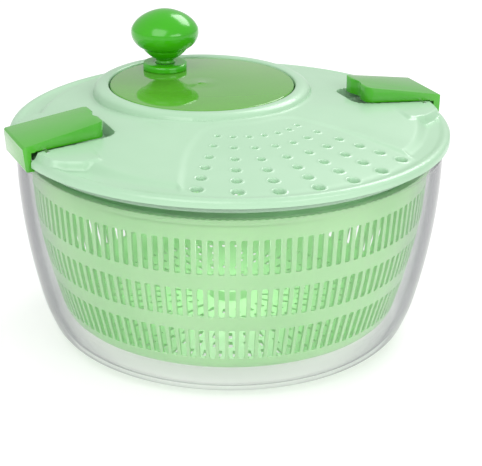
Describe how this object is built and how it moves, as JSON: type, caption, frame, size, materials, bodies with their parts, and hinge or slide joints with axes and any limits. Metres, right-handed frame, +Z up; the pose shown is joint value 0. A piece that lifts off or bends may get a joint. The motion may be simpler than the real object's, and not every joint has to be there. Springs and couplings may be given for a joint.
{
  "type": "salad spinner",
  "caption": "Crank salad spinner: clear round bowl, slotted inner basket, domed mint lid with pouring holes, geared crank disc with a round knob, and a press latch at each side.",
  "frame": {"origin": "centre of the bowl's base, on the surface it stands on", "axes": "+Z up; the latches lie on +X and -X; the lid's pouring holes point to -Y and the crank disc is set off towards +Y"},
  "size_m": [0.2488, 0.244, 0.1673],
  "materials": {
    "clear_plastic": "clear gloss",
    "mint_plastic": "gloss",
    "green_plastic": "gloss",
    "tinted_plastic": "gloss",
    "white_plastic": "satin",
    "dark_rubber": "matte",
    "steel": "satin"
  },
  "bodies": {
    "bowl": {"bowl": "clear_plastic", "rim_gasket": "dark_rubber"},
    "basket": {"basket": "mint_plastic"},
    "lid": {"lid_shell": "mint_plastic", "gear_tray": "mint_plastic", "tray_screws": "steel", "drive_bush": "white_plastic", "latch_pin_right": "steel", "latch_pin_left": "steel", "latch_spring_right": "steel", "latch_spring_left": "steel"},
    "crank": {"crank_disc": "tinted_plastic", "ring_gear": "tinted_plastic", "crank_axle": "steel", "crank_washer": "steel", "crank_screw": "steel", "knob_base": "green_plastic", "knob_spindle": "steel"},
    "knob": {"knob_body": "green_plastic", "knob_cap": "green_plastic"},
    "drive": {"drive_pinion": "white_plastic", "drive_shaft": "steel", "drive_plate": "mint_plastic", "plate_screw": "steel"},
    "latch_right": {"latch_right": "green_plastic"},
    "latch_left": {"latch_left": "green_plastic"}
  },
  "joints": [
    {"name": "lid_lift", "type": "slide", "parent": "bowl", "child": "lid", "axis": [0, 0, 1], "range_m": [0, 0.15]},
    {"name": "crank_spin", "type": "hinge", "parent": "lid", "child": "crank", "pos_m": [0, 0.04063, 0.1318], "axis": [0, 0, 1], "continuous": true},
    {"name": "knob_spin", "type": "hinge", "parent": "crank", "child": "knob", "pos_m": [-0.0086, 0.0772, 0.1535], "axis": [0, 0, 1], "continuous": true},
    {"name": "drive_spin", "type": "hinge", "parent": "lid", "child": "drive", "pos_m": [0, 0, 0.1155], "axis": [0, 0, 1], "continuous": true},
    {"name": "basket_spin", "type": "hinge", "parent": "bowl", "child": "basket", "pos_m": [0, 0, 0.015], "axis": [0, 0, 1], "continuous": true},
    {"name": "latch_right_press", "type": "hinge", "parent": "lid", "child": "latch_right", "pos_m": [0.112, 0, 0.1235], "axis": [0, -1, 0], "range_deg": [0, 10], "stiffness_Nm_per_rad": 0.6, "springref_deg": -5.73, "deforming": ["latch_spring_right"]},
    {"name": "latch_left_press", "type": "hinge", "parent": "lid", "child": "latch_left", "pos_m": [-0.112, 0, 0.1235], "axis": [0, 1, 0], "range_deg": [0, 10], "stiffness_Nm_per_rad": 0.6, "springref_deg": -5.73, "deforming": ["latch_spring_left"]}
  ],
  "couplings": [
    {"joint": "drive_spin", "follows": "crank_spin", "ratio": 5.3333},
    {"joint": "basket_spin", "follows": "crank_spin", "ratio": 5.3333}
  ]
}
